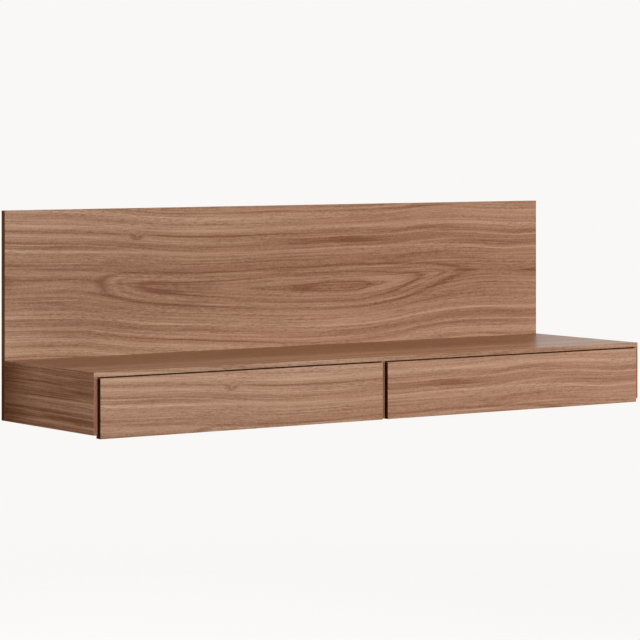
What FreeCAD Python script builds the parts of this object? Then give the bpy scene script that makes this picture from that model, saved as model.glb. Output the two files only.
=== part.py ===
# A wall-hung console: a tall flat back panel and, on its lower front, a slim box with a top shelf
# and two drawers that roll on ball-bearing runners.
# Millimetres. X runs to the viewer's right, Y into the wall and Z up. The origin lies on the wall,
# half way along the console, at the height of the holes for the wall screws.
import FreeCAD, Part
import math
import os

Vector = FreeCAD.Vector
TO_RIGHT = Vector(1, 0, 0)
TO_LEFT = Vector(-1, 0, 0)
TO_WALL = Vector(0, 1, 0)
TO_FRONT = Vector(0, -1, 0)
UP = Vector(0, 0, 1)

# Carcass
width = 1300.0
panel_height = 400.0
panel_thick = 13.0
carcass_depth = 330.0
box_height = 114.5
shelf_thick = 9.0
side_thick = 8.0
divider_thick = 8.0
arris = 0.4

# Drawer fronts: proud of the carcass, and hanging below it as a finger pull
front_thick = 15.0
front_proud = 7.0
front_gap = 2.0
front_hang = 6.5

# Foot of the divider, which fills the slit between the fronts where they hang below the carcass
foot_shy = 1.0

# Bottom panels, housed in grooves and set back behind the fronts for the fingers
bottom_thick = 6.0
bottom_lift = 4.0
bottom_setback = 40.0
housing_depth = 3.0
housing_play = 0.2

# Drawer boxes
drawer_wall = 12.0
drawer_lift = 18.0
drawer_headroom = 16.0
drawer_rear_room = 17.0
drawer_floor_thick = 6.0
drawer_floor_lift = 8.0
drawer_groove = 6.0
drawer_floor_play = 0.3

# Dovetails at the corners of the drawer boxes
tail_count = 3
pin_tip = 8.0
pin_flare = 2.0

# Ball-bearing runners, one on each wall of a bay
runner_thick = 10.0
rail_height = 35.0
rail_sheet = 1.2
rail_setback = 2.0
rail_rear_gap = 3.0
ball_radius = 2.0
race_gap = 0.3
lip_degrees = 8.0
race_end_degrees = 30.0
travel_share = 0.75

# Ball cages, the lugs that stop them, and the rubber buffers that the closed drawer meets
cage_sheet = 0.6
cage_gap = 0.3
cage_tab_gap = 0.4
pocket_play = 0.2
pocket_depth = 2.5
ball_place_shares = (-0.42, -0.14, 0.14, 0.42)
lug_width = 12.0
lug_gap = 0.5
buffer_thick = 5.0
buffer_height = 16.0
buffer_gap = 0.3

# Countersunk screws of the rails, apart in the two bays because both bite into the divider
rail_screw_radius = 1.6
rail_screw_head = 3.0
rail_screw_cover = 2.0
screw_play = 0.1
rail_screw_shares = {"left": (0.07, 0.46, 0.88), "right": (0.12, 0.54, 0.93)}

# Pan-head screws that hold each front on its drawer box
front_screw_radius = 2.0
front_screw_head = 4.0
front_screw_head_height = 2.2
front_screw_cover = 5.0
front_screw_x_shares = (0.2, 0.8)
front_screw_z_shares = (0.35, 0.75)

# Steel angles under the shelf, which the wall screws go through
bracket_leg = 40.0
bracket_width = 30.0
bracket_sheet = 2.0
bracket_bend = 1.5
wall_hole_radius = 3.25
bracket_place_shares = (-0.375, -0.125, 0.125, 0.375)
bracket_screw_radius = 1.75
bracket_screw_head = 3.5
bracket_screw_head_height = 2.0
bracket_screw_cover = 2.0
bracket_screw_x_shares = (-0.27, 0.27)
bracket_screw_y_share = 0.62

# Countersunk screws from behind through the back panel
back_screw_radius = 1.75
back_screw_head = 3.5
back_screw_head_depth = 2.0
back_screw_reach = 27.0
back_screw_sink = 0.3
shelf_screw_shares = (-0.46, -0.25, -0.05, 0.05, 0.25, 0.46)
upright_screw_shares = (0.22, 0.78)

# Dowels between the shelf and the uprights
dowel_radius = 2.0
dowel_cover = 3.0
dowel_in_upright = 11.0
dowel_place_shares = (0.15, 0.5, 0.85)

# Levels, from the wall holes up and down
shelf_under = bracket_leg / 2
shelf_top = shelf_under + shelf_thick
carcass_low = shelf_top - box_height
panel_top = carcass_low + panel_height
front_low = carcass_low - front_hang
foot_low = front_low + foot_shy
bottom_low = carcass_low + bottom_lift
bottom_high = bottom_low + bottom_thick
drawer_low = carcass_low + drawer_lift
drawer_high = shelf_under - drawer_headroom
floor_low = drawer_low + drawer_floor_lift
floor_high = floor_low + drawer_floor_thick
rail_mid = (drawer_low + drawer_high) / 2

# Planes, from the wall forwards
panel_face = -panel_thick
carcass_front = panel_face - carcass_depth
front_face = carcass_front - front_proud
front_rear = front_face + front_thick
drawer_rear = panel_face - drawer_rear_room
box_front_in = front_rear + drawer_wall
box_back_in = drawer_rear - drawer_wall
rail_front = front_rear + rail_setback
rail_rear = drawer_rear - rail_rear_gap
rail_length = rail_rear - rail_front
buffer_front = rail_rear + buffer_gap
buffer_rear = buffer_front + buffer_thick

# Limits from left to right
half_width = width / 2
upright_spans = {
    "left_side": (-half_width, side_thick - half_width),
    "center_divider": (-divider_thick / 2, divider_thick / 2),
    "right_side": (half_width - side_thick, half_width),
}
bay_spans = {
    "left": (upright_spans["left_side"][1], upright_spans["center_divider"][0]),
    "right": (upright_spans["center_divider"][1], upright_spans["right_side"][0]),
}
BAYS = ("left", "right")
WALLS = ("left", "right")

# Ball race, measured from the wall of the bay and from mid-height of the rail
race_radius = ball_radius + race_gap
band_radius = race_radius + rail_sheet
ball_out = band_radius
ball_up = rail_height / 2 - band_radius
cage_back = rail_sheet + cage_gap
cage_face = cage_back + cage_sheet
drawer_travel = travel_share * rail_length
cage_length = rail_length - drawer_travel - 2 * (rail_sheet + lug_gap)
cage_middle = (rail_front + rail_rear) / 2

# How far the short screws go into the wood
rail_screw_reach = min(side_thick, divider_thick, drawer_wall) - rail_screw_cover
front_screw_reach = drawer_wall + front_thick - front_screw_cover
bracket_screw_reach = bracket_sheet + shelf_thick - bracket_screw_cover
dowel_length = dowel_in_upright + shelf_thick - dowel_cover


def block(x_span, y_span, z_span):
    """A box between three pairs of limits."""
    corner = Vector(x_span[0], y_span[0], z_span[0])
    return Part.makeBox(x_span[1] - x_span[0], y_span[1] - y_span[0], z_span[1] - z_span[0], corner)


def eased(solid):
    """The solid with a small arris on every edge."""
    return solid.makeChamfer(arris, solid.Edges)


def part_way(span, share):
    """The place at this share of the way along a pair of limits."""
    return span[0] + share * (span[1] - span[0])


def profile(edges, along):
    """A bar with the closed outline that these edges make, drawn out along a vector."""
    shapes = [edge.toShape() for edge in edges]
    return Part.Face(Part.Wire(Part.sortEdges(shapes)[0])).extrude(along)


def joined(*corners):
    """Straight edges from each corner to the next."""
    return [Part.LineSegment(start, end) for start, end in zip(corners, corners[1:])]


def countersunk(head, radius, depth, reach, start, along, play=0):
    """A countersunk screw with its head face at start; with some play, the hole for it."""
    cone = Part.makeCone(head + play, radius + play, depth, start, along)
    shank = Part.makeCylinder(radius + play, reach, start + along * depth, along)
    return cone.fuse(shank).removeSplitter()


def pan_head(head, head_height, radius, reach, seat, along):
    """A pan-head screw whose head sits on the seat, with its shank along the given direction."""
    cap = Part.makeCylinder(head, head_height, seat - along * head_height, along)
    shank = Part.makeCylinder(radius, reach, seat, along)
    return cap.fuse(shank).removeSplitter()


# Screws and dowels of the carcass

def wall_hole_places():
    """Middles of the wall-screw holes on the wall plane."""
    return [Vector(share * width, 0, 0) for share in bracket_place_shares]


def upright_middles():
    """Mid-thickness of the left side, the divider and the right side."""
    return [part_way(span, 0.5) for span in upright_spans.values()]


def back_screw_places():
    """Head middles on the wall plane: a row into the shelf and a pair into each upright."""
    shelf_middle = part_way((shelf_under, shelf_top), 0.5)
    places = [Vector(share * width, 0, shelf_middle) for share in shelf_screw_shares]
    for x in upright_middles():
        for share in upright_screw_shares:
            places.append(Vector(x, 0, part_way((carcass_low, shelf_under), share)))
    return places


def back_screws(sink, play=0):
    """Screws from behind, sunk below the rear face, or their holes when there is play."""
    reach = panel_thick + back_screw_reach - back_screw_head_depth - sink
    sizes = (back_screw_head, back_screw_radius, back_screw_head_depth, reach)
    return [countersunk(*sizes, place + TO_FRONT * sink, TO_FRONT, play) for place in back_screw_places()]


def bracket_screw_seats(place):
    """Where the two screws of the bracket at this wall hole sit, under the bracket."""
    y = panel_face - bracket_screw_y_share * bracket_leg
    z = shelf_under - bracket_sheet
    return [Vector(place.x + share * bracket_width, y, z) for share in bracket_screw_x_shares]


def bracket_screws():
    sizes = (bracket_screw_head, bracket_screw_head_height, bracket_screw_radius, bracket_screw_reach)
    seats = [seat for place in wall_hole_places() for seat in bracket_screw_seats(place)]
    return [pan_head(*sizes, seat, UP) for seat in seats]


def dowels():
    rods = []
    for x in upright_middles():
        for share in dowel_place_shares:
            foot = Vector(x, panel_face - share * carcass_depth, shelf_under - dowel_in_upright)
            rods.append(Part.makeCylinder(dowel_radius, dowel_length, foot, UP))
    return rods


# Boards and brackets of the carcass

def bottom_housing(x_span):
    """The space that a bottom panel takes up with its play, reaching into the grooves round it."""
    return block(
        (x_span[0] - housing_depth, x_span[1] + housing_depth),
        (carcass_front + bottom_setback, panel_face + housing_depth),
        (bottom_low, bottom_high + housing_play),
    )


def bottom_panel(x_span):
    grip = housing_depth - housing_play
    return block(
        (x_span[0] - grip, x_span[1] + grip),
        (carcass_front + bottom_setback, panel_face + grip),
        (bottom_low, bottom_high),
    )


def back_panel():
    panel = eased(block((-half_width, half_width), (panel_face, 0), (carcass_low, panel_top)))
    places = wall_hole_places()
    holes = [Part.makeCylinder(wall_hole_radius, panel_thick, place, TO_FRONT) for place in places]
    housings = [bottom_housing(span) for span in bay_spans.values()]
    return panel.cut(holes + housings + back_screws(0, back_screw_sink))


def top_shelf():
    shelf = eased(block((-half_width, half_width), (carcass_front, panel_face), (shelf_under, shelf_top)))
    return shelf.cut(dowels() + back_screws(back_screw_sink) + bracket_screws())


def upright(name):
    """A side or the divider, with its grooves, dowel holes and screw holes."""
    x_span = upright_spans[name]
    board = block(x_span, (carcass_front, panel_face), (carcass_low, shelf_under))
    if name == "center_divider":
        foot = block(x_span, (carcass_front, carcass_front + bottom_setback), (foot_low, carcass_low))
        board = board.fuse(foot).removeSplitter()
    housings = [bottom_housing(span) for span in bay_spans.values()]
    return eased(board).cut(housings + dowels() + back_screws(back_screw_sink) + cabinet_rail_screws())


def bracket_outline(x):
    """Side view of a folded angle: one leg down the back panel, the other under the shelf."""
    bend_out = bracket_bend + bracket_sheet
    diagonal = math.sqrt(0.5)

    def at(forward, down):
        return Vector(x, panel_face - forward, shelf_under - down)

    def bend(radius):
        """The quarter round of this radius at the fold."""
        start, middle = bend_out - radius, bend_out - radius * diagonal
        return Part.Arc(at(bend_out, start), at(middle, middle), at(start, bend_out))

    lower = joined(
        at(bend_out, 0), at(bracket_leg, 0), at(bracket_leg, bracket_sheet), at(bend_out, bracket_sheet)
    )
    rear = joined(
        at(0, bend_out), at(0, bracket_leg), at(bracket_sheet, bracket_leg), at(bracket_sheet, bend_out)
    )
    return lower + rear + [bend(bend_out), bend(bracket_bend)]


def bracket(place):
    """The angle round one wall hole, with the holes for its screws."""
    angle = profile(bracket_outline(place.x - bracket_width / 2), TO_RIGHT * bracket_width)
    wall_hole = Part.makeCylinder(wall_hole_radius, bracket_sheet, place + TO_FRONT * panel_thick, TO_FRONT)
    screw_holes = [
        Part.makeCylinder(bracket_screw_radius + screw_play, bracket_sheet, seat, UP)
        for seat in bracket_screw_seats(place)
    ]
    return angle.cut([wall_hole] + screw_holes)


# Ball-bearing runners, drawn against a wall at X = 0 with the drawer on the right

def race_point(radius, degrees, top):
    """A point round a ball centre, at an angle that turns from the drawer to the rail's edge."""
    angle = math.radians(degrees)
    out = ball_out + radius * math.cos(angle)
    up = ball_up + radius * math.sin(angle)
    return Vector(out, rail_front, top * up)


def race_arc(radius, start, end, top):
    middle = (start + end) / 2
    return Part.Arc(*[race_point(radius, degrees, top) for degrees in (start, middle, end)])


def rail_lug(x_span, y_span):
    """A tab bent across the channel, in the way of the ball cage."""
    return block(x_span, y_span, (-lug_width / 2, lug_width / 2))


def cabinet_rail(bay):
    """Rolled channel: a web on the wall, and a half-round race over and under it."""
    edges = []
    for top in (1, -1):
        for radius in (band_radius, race_radius):
            edges.append(race_arc(radius, -lip_degrees, 180, top))
        edges += joined(*[race_point(radius, -lip_degrees, top) for radius in (race_radius, band_radius)])
    for radius in (band_radius, race_radius):
        edges += joined(race_point(radius, 180, 1), race_point(radius, 180, -1))
    rail = profile(edges, TO_WALL * (buffer_rear - rail_front))
    lug = rail_lug((0, cage_face), (rail_front, rail_front + rail_sheet))
    return rail.fuse(lug).removeSplitter().cut(wall_screws(bay, screw_play))


def drawer_rail(bay):
    """Rolled channel on the drawer's side, its flanges dished under the balls."""
    web_in = runner_thick - rail_sheet
    race_start = math.degrees(math.acos((ball_out - cage_face - cage_gap) / band_radius)) - 180
    flange_top = race_point(race_radius, -race_end_degrees, 1).z
    flange_under = flange_top - rail_sheet
    band_end = math.degrees(math.asin((flange_under - ball_up) / band_radius))
    edges = []
    for top in (1, -1):
        edges.append(race_arc(race_radius, race_start, -race_end_degrees, top))
        edges.append(race_arc(band_radius, race_start, band_end, top))
        edges += joined(*[race_point(radius, race_start, top) for radius in (race_radius, band_radius)])
        edges += joined(
            race_point(race_radius, -race_end_degrees, top),
            Vector(runner_thick, rail_front, top * flange_top),
            Vector(runner_thick, rail_front, 0),
        )
        edges += joined(
            race_point(band_radius, band_end, top),
            Vector(web_in, rail_front, top * flange_under),
            Vector(web_in, rail_front, 0),
        )
    rail = profile(edges, TO_WALL * rail_length)
    lug = rail_lug((cage_back, runner_thick), (rail_rear - rail_sheet, rail_rear))
    return rail.fuse(lug).removeSplitter().cut(drawer_screws(bay, screw_play))


def ball_centres():
    return [
        Vector(ball_out, cage_middle + share * cage_length, top * ball_up)
        for top in (1, -1)
        for share in ball_place_shares
    ]


def balls():
    return [Part.makeSphere(ball_radius, centre) for centre in ball_centres()]


def ball_cage():
    """Thin channel between the rails, its flanges cut into fingers that keep the balls apart."""
    tab = ball_out + race_radius - cage_tab_gap
    tall = ball_up + cage_sheet / 2
    y_span = (cage_middle - cage_length / 2, cage_middle + cage_length / 2)
    channel = block((cage_back, tab), y_span, (-tall, tall))
    hollow = block((cage_face, tab), y_span, (cage_sheet - tall, tall - cage_sheet))
    pockets = [
        Part.makeCylinder(ball_radius + pocket_play, 2 * pocket_depth, centre - UP * pocket_depth, UP)
        for centre in ball_centres()
    ]
    return channel.cut([hollow] + pockets)


def buffer():
    """Rubber block at the rear end of the cabinet rail, which sets where the drawer stops."""
    tall = buffer_height / 2
    return block((rail_sheet, runner_thick - rail_sheet), (buffer_front, buffer_rear), (-tall, tall))


def rail_screws(bay, web_face, along, play):
    """Screws through the web of a rail, heads flush with its open face, or their holes."""
    sizes = (rail_screw_head, rail_screw_radius, rail_sheet, rail_screw_reach)
    places = [part_way((rail_front, rail_rear), share) for share in rail_screw_shares[bay]]
    return [countersunk(*sizes, Vector(web_face, y, 0), along, play) for y in places]


def wall_screws(bay, play=0):
    return rail_screws(bay, rail_sheet, TO_LEFT, play)


def drawer_screws(bay, play=0):
    return rail_screws(bay, runner_thick - rail_sheet, TO_RIGHT, play)


def seated(shape, bay, wall):
    """A runner piece moved to its wall of the bay, at the height of the rails."""
    if wall == "right":
        shape = shape.mirror(Vector(0, 0, 0), TO_RIGHT)
    wall_x = bay_spans[bay][WALLS.index(wall)]
    return shape.translated(Vector(wall_x, 0, rail_mid))


def cabinet_rail_screws():
    return [seated(screw, bay, wall) for bay in BAYS for wall in WALLS for screw in wall_screws(bay)]


# Drawers

def inner_span(bay):
    """Inner faces of the drawer box's two sides."""
    wall = runner_thick + drawer_wall
    return (bay_spans[bay][0] + wall, bay_spans[bay][1] - wall)


def side_spans(bay):
    """Limits of the drawer box's two sides, between the runner and the inside."""
    inner = inner_span(bay)
    return {"left": (inner[0] - drawer_wall, inner[0]), "right": (inner[1], inner[1] + drawer_wall)}


def dovetail_pins(x_span, y_tip, y_root):
    """Pins that run through a drawer side: narrow at the tip, half ones at top and bottom."""
    corner = block(x_span, sorted((y_tip, y_root)), (drawer_low, drawer_high))
    tip = pin_tip / 2
    root = tip + pin_flare
    pins = []
    for step in range(tail_count + 1):
        z = part_way((drawer_low, drawer_high), step / tail_count)
        corners = [(y_tip, z - tip), (y_tip, z + tip), (y_root, z + root), (y_root, z - root)]
        outline = Part.makePolygon([Vector(x_span[0], y, height) for y, height in corners + corners[:1]])
        pin = Part.Face(outline).extrude(TO_RIGHT * (x_span[1] - x_span[0]))
        pins.append(pin.common(corner))
    return pins


def end_pins(bay, wall, end):
    """The pins of the box front or the box back in one drawer side."""
    x_span = side_spans(bay)[wall]
    if end == "front":
        return dovetail_pins(x_span, front_rear, box_front_in)
    return dovetail_pins(x_span, drawer_rear, box_back_in)


def floor_block(bay, grip, top):
    """A slab between the drawer walls that reaches this far into each of them."""
    inner = inner_span(bay)
    return block(
        (inner[0] - grip, inner[1] + grip),
        (box_front_in - grip, box_back_in + grip),
        (floor_low, top),
    )


def floor_groove(bay):
    return floor_block(bay, drawer_groove, floor_high + drawer_floor_play)


def drawer_floor(bay):
    return floor_block(bay, drawer_groove - drawer_floor_play, floor_high)


def box_end(bay, end):
    """The front or the back of a drawer box, with its dovetail pins."""
    y_span = (front_rear, box_front_in) if end == "front" else (box_back_in, drawer_rear)
    board = block(inner_span(bay), y_span, (drawer_low, drawer_high))
    pins = [pin for wall in WALLS for pin in end_pins(bay, wall, end)]
    return board.fuse(pins).removeSplitter().cut([floor_groove(bay)] + front_screws(bay))


def drawer_side(bay, wall):
    board = block(side_spans(bay)[wall], (front_rear, drawer_rear), (drawer_low, drawer_high))
    pins = end_pins(bay, wall, "front") + end_pins(bay, wall, "back")
    screws = [seated(screw, bay, wall) for screw in drawer_screws(bay)]
    return board.cut(pins + [floor_groove(bay)] + screws)


def drawer_front(bay):
    x_span = (bay_spans[bay][0] + front_gap, bay_spans[bay][1] - front_gap)
    z_span = (front_low, shelf_under - front_gap)
    return eased(block(x_span, (front_face, front_rear), z_span)).cut(front_screws(bay))


def front_screws(bay):
    sizes = (front_screw_head, front_screw_head_height, front_screw_radius, front_screw_reach)
    across = [part_way(inner_span(bay), share) for share in front_screw_x_shares]
    heights = [part_way((drawer_low, drawer_high), share) for share in front_screw_z_shares]
    seats = [Vector(x, box_front_in, z) for x in across for z in heights]
    return [pan_head(*sizes, seat, TO_FRONT) for seat in seats]


# All pieces, one node each, with like fasteners in one group

nodes = {
    "back_panel": back_panel(),
    "top_shelf": top_shelf(),
    "shelf_dowels": Part.makeCompound(dowels()),
    "carcass_screws": Part.makeCompound(back_screws(back_screw_sink)),
    "wall_brackets": Part.makeCompound([bracket(place) for place in wall_hole_places()]),
    "bracket_screws": Part.makeCompound(bracket_screws()),
    "cabinet_rail_screws": Part.makeCompound(cabinet_rail_screws()),
}
for name in upright_spans:
    nodes[name] = upright(name)

for bay in BAYS:
    drawer = bay + "_drawer_"
    nodes[bay + "_bottom_panel"] = bottom_panel(bay_spans[bay])
    nodes[drawer + "front"] = drawer_front(bay)
    nodes[drawer + "front_screws"] = Part.makeCompound(front_screws(bay))
    nodes[drawer + "box_front"] = box_end(bay, "front")
    nodes[drawer + "box_back"] = box_end(bay, "back")
    nodes[drawer + "bottom"] = drawer_floor(bay)
    for wall in WALLS:
        runner = bay + "_bay_" + wall
        nodes[drawer + wall + "_side"] = drawer_side(bay, wall)
        nodes[drawer + wall + "_rail"] = seated(drawer_rail(bay), bay, wall)
        nodes[runner + "_cabinet_rail"] = seated(cabinet_rail(bay), bay, wall)
        nodes[runner + "_ball_cage"] = seated(ball_cage(), bay, wall)
    loose = {"_bay_balls": balls(), "_bay_buffers": [buffer()], "_drawer_rail_screws": drawer_screws(bay)}
    for ending, pieces in loose.items():
        both_walls = [seated(piece, bay, wall) for wall in WALLS for piece in pieces]
        nodes[bay + ending] = Part.makeCompound(both_walls)

os.makedirs("parts", exist_ok=True)
for name, shape in nodes.items():
    shape.exportStep("parts/" + name + ".step")

whole = Part.makeCompound(list(nodes.values())).BoundBox
print(f"{len(nodes)} nodes, {whole.XLength:.1f} x {whole.YLength:.1f} x {whole.ZLength:.1f} mm")
print(f"drawer travel {drawer_travel:.1f} mm on rails of {rail_length:.1f} mm, cages {cage_length:.1f} mm")
print(f"wall holes at X {[round(place.x, 2) for place in wall_hole_places()]}")
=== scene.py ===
# %% [markdown]
# # A wall-hung console in walnut veneer
#
# A tall thin back panel carries a slim box: a shelf on two sides and a divider, and two drawers that
# roll on ball-bearing runners. The shapes and sizes come from a CAD model, which is loaded first and
# stays fixed. This lesson gives it a camera, soft light, wood, steel and rubber, and makes the small
# turned pieces that repeat, such as the screws.

# %% Load the frame
import math

import bmesh
import bpy
import numpy as np
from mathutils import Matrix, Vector


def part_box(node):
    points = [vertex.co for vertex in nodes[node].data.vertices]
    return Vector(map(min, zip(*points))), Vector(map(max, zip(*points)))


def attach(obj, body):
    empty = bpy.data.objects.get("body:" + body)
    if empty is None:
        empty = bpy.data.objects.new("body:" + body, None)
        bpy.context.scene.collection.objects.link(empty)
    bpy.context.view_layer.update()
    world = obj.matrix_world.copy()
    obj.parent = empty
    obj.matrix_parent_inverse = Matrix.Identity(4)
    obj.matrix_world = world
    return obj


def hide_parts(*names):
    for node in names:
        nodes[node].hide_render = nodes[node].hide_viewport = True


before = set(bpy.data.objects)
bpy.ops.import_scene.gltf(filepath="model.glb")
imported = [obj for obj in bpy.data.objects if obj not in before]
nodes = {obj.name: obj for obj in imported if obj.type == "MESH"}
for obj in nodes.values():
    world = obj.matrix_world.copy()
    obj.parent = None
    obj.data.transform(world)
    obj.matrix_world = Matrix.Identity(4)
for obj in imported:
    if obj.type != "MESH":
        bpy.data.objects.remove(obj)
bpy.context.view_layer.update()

scene = bpy.context.scene
scene.view_settings.view_transform = "Standard"
print("boards, fasteners and runners in the frame:", len(nodes))

# %% [markdown]
# ## The camera
#
# The console was photographed with a long lens, level, from about 35 degrees to the left of its front.
# A level camera keeps uprights upright, and a downward shift of the frame then brings the console to
# the middle. Tilting the camera instead would make the sides lean together. The place was worked out
# from the corners of the console in the picture.

# %% Set up the camera
CAMERA_PLACE = (-3.4258, -5.0097, 0.4786)
CAMERA_LEVEL, CAMERA_TURN = math.radians(90), math.radians(-35.07)
SENSOR_MM, LENS_MM = 36.0, 168.22
FRAME_DROP = -0.3058
SIGHT_END = 100.0

lens = bpy.data.cameras.new("console_camera")
lens.sensor_width = SENSOR_MM
lens.lens = LENS_MM
lens.shift_y = FRAME_DROP
lens.clip_end = SIGHT_END
camera = bpy.data.objects.new("console_camera", lens)
camera.location = CAMERA_PLACE
camera.rotation_euler = (CAMERA_LEVEL, 0.0, CAMERA_TURN)
scene.collection.objects.link(camera)
scene.camera = camera
print("camera", round(Vector(CAMERA_PLACE).length, 2), "m from the wall holes")

# %% [markdown]
# ## Short words for node trees
#
# Every finish below is a node tree. Adding a node takes three lines in plain Blender Python: make it,
# set its options, link its inputs. One helper does all three, so that a recipe reads like a list of
# steps. Given a socket it links it, and given a number it sets it.

# %% Helpers that add nodes
NODE_STEP = 180


def put(tree, kind, inputs=None, **options):
    """Add one node to a tree, set its options, and link or set its inputs."""
    made = tree.nodes.new(kind)
    made.location = (NODE_STEP * len(tree.nodes), 0)
    for name, value in options.items():
        setattr(made, name, value)
    for key, value in (inputs or {}).items():
        if isinstance(value, bpy.types.NodeSocket):
            tree.links.new(value, made.inputs[key])
        else:
            made.inputs[key].default_value = value
    return made


def sums(tree, operation, *values):
    """One step of arithmetic on sockets or plain numbers."""
    return put(tree, "ShaderNodeMath", dict(enumerate(values)), operation=operation).outputs[0]


def added(tree, base, value, weight):
    """A value added to a base with some weight."""
    return sums(tree, "MULTIPLY_ADD", value, weight, base)


def ranged(tree, value, low, high, to_low=0.0, to_high=1.0):
    """Map a value from one range to another, with soft ends."""
    inputs = {"Value": value, 1: low, 2: high, 3: to_low, 4: to_high}
    return put(tree, "ShaderNodeMapRange", inputs, interpolation_type="SMOOTHSTEP").outputs[0]

# %% [markdown]
# ## Ground and light
#
# The picture has a plain, slightly warm white ground with no shadow in view, and soft light from the
# front, a little to the right: fronts and back panel are bright, the shelf is dimmer and the left side
# is dimmest. An even sky and three softboxes give that. The sky shows as the white ground to the camera
# and in reflections, and lights the wood at a lower strength: at full strength, light from all sides
# would flatten the wood.

# %% Make the sky
GROUND_WHITE = (0.956, 0.939, 0.922, 1.0)
SKY_STRENGTH = 0.27


def emptied(owner):
    """The node tree of a world or a material, with nothing in it."""
    owner.use_nodes = True
    owner.node_tree.nodes.clear()
    return owner.node_tree


def picture_rays(tree):
    """1 for rays that make the picture: from the camera, off gloss or through something clear."""
    path = put(tree, "ShaderNodeLightPath").outputs
    seen = sums(tree, "MAXIMUM", path["Is Camera Ray"], path["Is Glossy Ray"])
    return sums(tree, "MAXIMUM", seen, path["Is Transmission Ray"])


sky = bpy.data.worlds.new("soft_sky")
scene.world = sky
tree = emptied(sky)
lighting = put(tree, "ShaderNodeBackground", {"Color": GROUND_WHITE, "Strength": SKY_STRENGTH})
ground = put(tree, "ShaderNodeBackground", {"Color": GROUND_WHITE, "Strength": 1.0})
choice = put(tree, "ShaderNodeMixShader", {
    0: picture_rays(tree),
    1: lighting.outputs[0],
    2: ground.outputs[0],
})
put(tree, "ShaderNodeOutputWorld", {"Surface": choice.outputs[0]})
print("sky lights at", SKY_STRENGTH, "and shows at 1")

# %% [markdown]
# ### Softboxes
#
# A large main softbox stands at the front right and a weaker one on the left, and a small one high
# behind skims the shelf. All are far off, so the light hardly falls away along the console. In Blender
# they are area lights, because point lights would draw hard shadows.

# %% Hang the softboxes
SOFTBOX_AIM = Vector((0.0, -0.2, 0.1))
SOFTBOXES = {
    "main_softbox": {"place": (2.2, -7.6, 1.4), "size": (3.4, 2.2), "watts": 490.0},
    "left_softbox": {"place": (-5.6, -4.6, 1.7), "size": (3.0, 2.2), "watts": 140.0},
    "rear_softbox": {"place": (0.3, 2.4, 3.4), "size": (3.0, 1.2), "watts": 90.0},
}
for name, box in SOFTBOXES.items():
    glow = bpy.data.lights.new(name, "AREA")
    glow.shape = "RECTANGLE"
    glow.size, glow.size_y = box["size"]
    glow.energy = box["watts"]
    softbox = bpy.data.objects.new(name, glow)
    softbox.location = box["place"]
    aim = SOFTBOX_AIM - Vector(box["place"])
    softbox.rotation_euler = aim.to_track_quat("-Z", "Y").to_euler()
    scene.collection.objects.link(softbox)
    print(name, "at", round(aim.length, 2), "m")

# %% [markdown]
# ### A pale floor
#
# The console hangs at the height of a side table, so the floor lies well below the picture. It still
# throws light up at the underside, and shows in other views. A disc is enough. It fades to clear before
# its rim, because an edge would draw a line across the white ground.

# %% Lay the floor
FLOOR_LEVEL = -0.82
FLOOR_RADIUS, FLOOR_SIDES = 4.0, 96

disc = bmesh.new()
bmesh.ops.create_circle(disc, cap_ends=True, segments=FLOOR_SIDES, radius=FLOOR_RADIUS)
bmesh.ops.translate(disc, verts=disc.verts, vec=(0.0, 0.0, FLOOR_LEVEL))
floor_mesh = bpy.data.meshes.new("floor")
disc.to_mesh(floor_mesh)
disc.free()
floor = bpy.data.objects.new("floor", floor_mesh)
scene.collection.objects.link(floor)
print("floor", -FLOOR_LEVEL, "m below the wall holes")

# %% Paint the floor
FLOOR_FADE = (1.2, 3.6)
FLOOR_PAINT = (0.8, 0.79, 0.775, 1.0)
FLOOR_SHADE, FLOOR_GLOW = (0.4, 0.395, 0.39, 1.0), 0.68
LEVEL_PART = (1.0, 1.0, 0.0)

paint = bpy.data.materials.new("pale_floor")
tree = emptied(paint)
lit = put(tree, "ShaderNodeBsdfDiffuse", {"Color": FLOOR_PAINT})
shaded = put(tree, "ShaderNodeBsdfDiffuse", {"Color": FLOOR_SHADE})
white = put(tree, "ShaderNodeEmission", {"Color": GROUND_WHITE, "Strength": FLOOR_GLOW})
pale = put(tree, "ShaderNodeAddShader", {0: shaded.outputs[0], 1: white.outputs[0]})
surface = put(tree, "ShaderNodeMixShader", {0: picture_rays(tree), 1: lit.outputs[0], 2: pale.outputs[0]})
spot = put(tree, "ShaderNodeTexCoord").outputs["Object"]
level = put(tree, "ShaderNodeVectorMath", {0: spot, 1: LEVEL_PART}, operation="MULTIPLY").outputs[0]
away = put(tree, "ShaderNodeVectorMath", {0: level}, operation="LENGTH").outputs["Value"]
clear = put(tree, "ShaderNodeBsdfTransparent").outputs[0]
fade = ranged(tree, away, *FLOOR_FADE)
faded = put(tree, "ShaderNodeMixShader", {0: fade, 1: surface.outputs[0], 2: clear})
put(tree, "ShaderNodeOutputMaterial", {"Surface": faded.outputs[0]})
floor_mesh.materials.append(paint)
print("floor fades out from", *FLOOR_FADE, "m")

# %% [markdown]
# ## How walnut gets its figure
#
# Veneer for wide panels is sliced flat from the log. The knife meets each yearly layer at a low angle,
# so the layers show as long streaks, and where the log swells or bends they close into pointed arches
# and ovals. A wave texture gives stripes but no arches. Here the leaf is worked out as the knife cuts
# it: a point's yearly layer is its distance from the heart of the log, that is, from a line that runs
# along the leaf at some height and at some depth behind it. Two curves give that height and that
# depth along the leaf. Where the depth dips, ovals close round the dip, as they do on this back panel.

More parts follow.
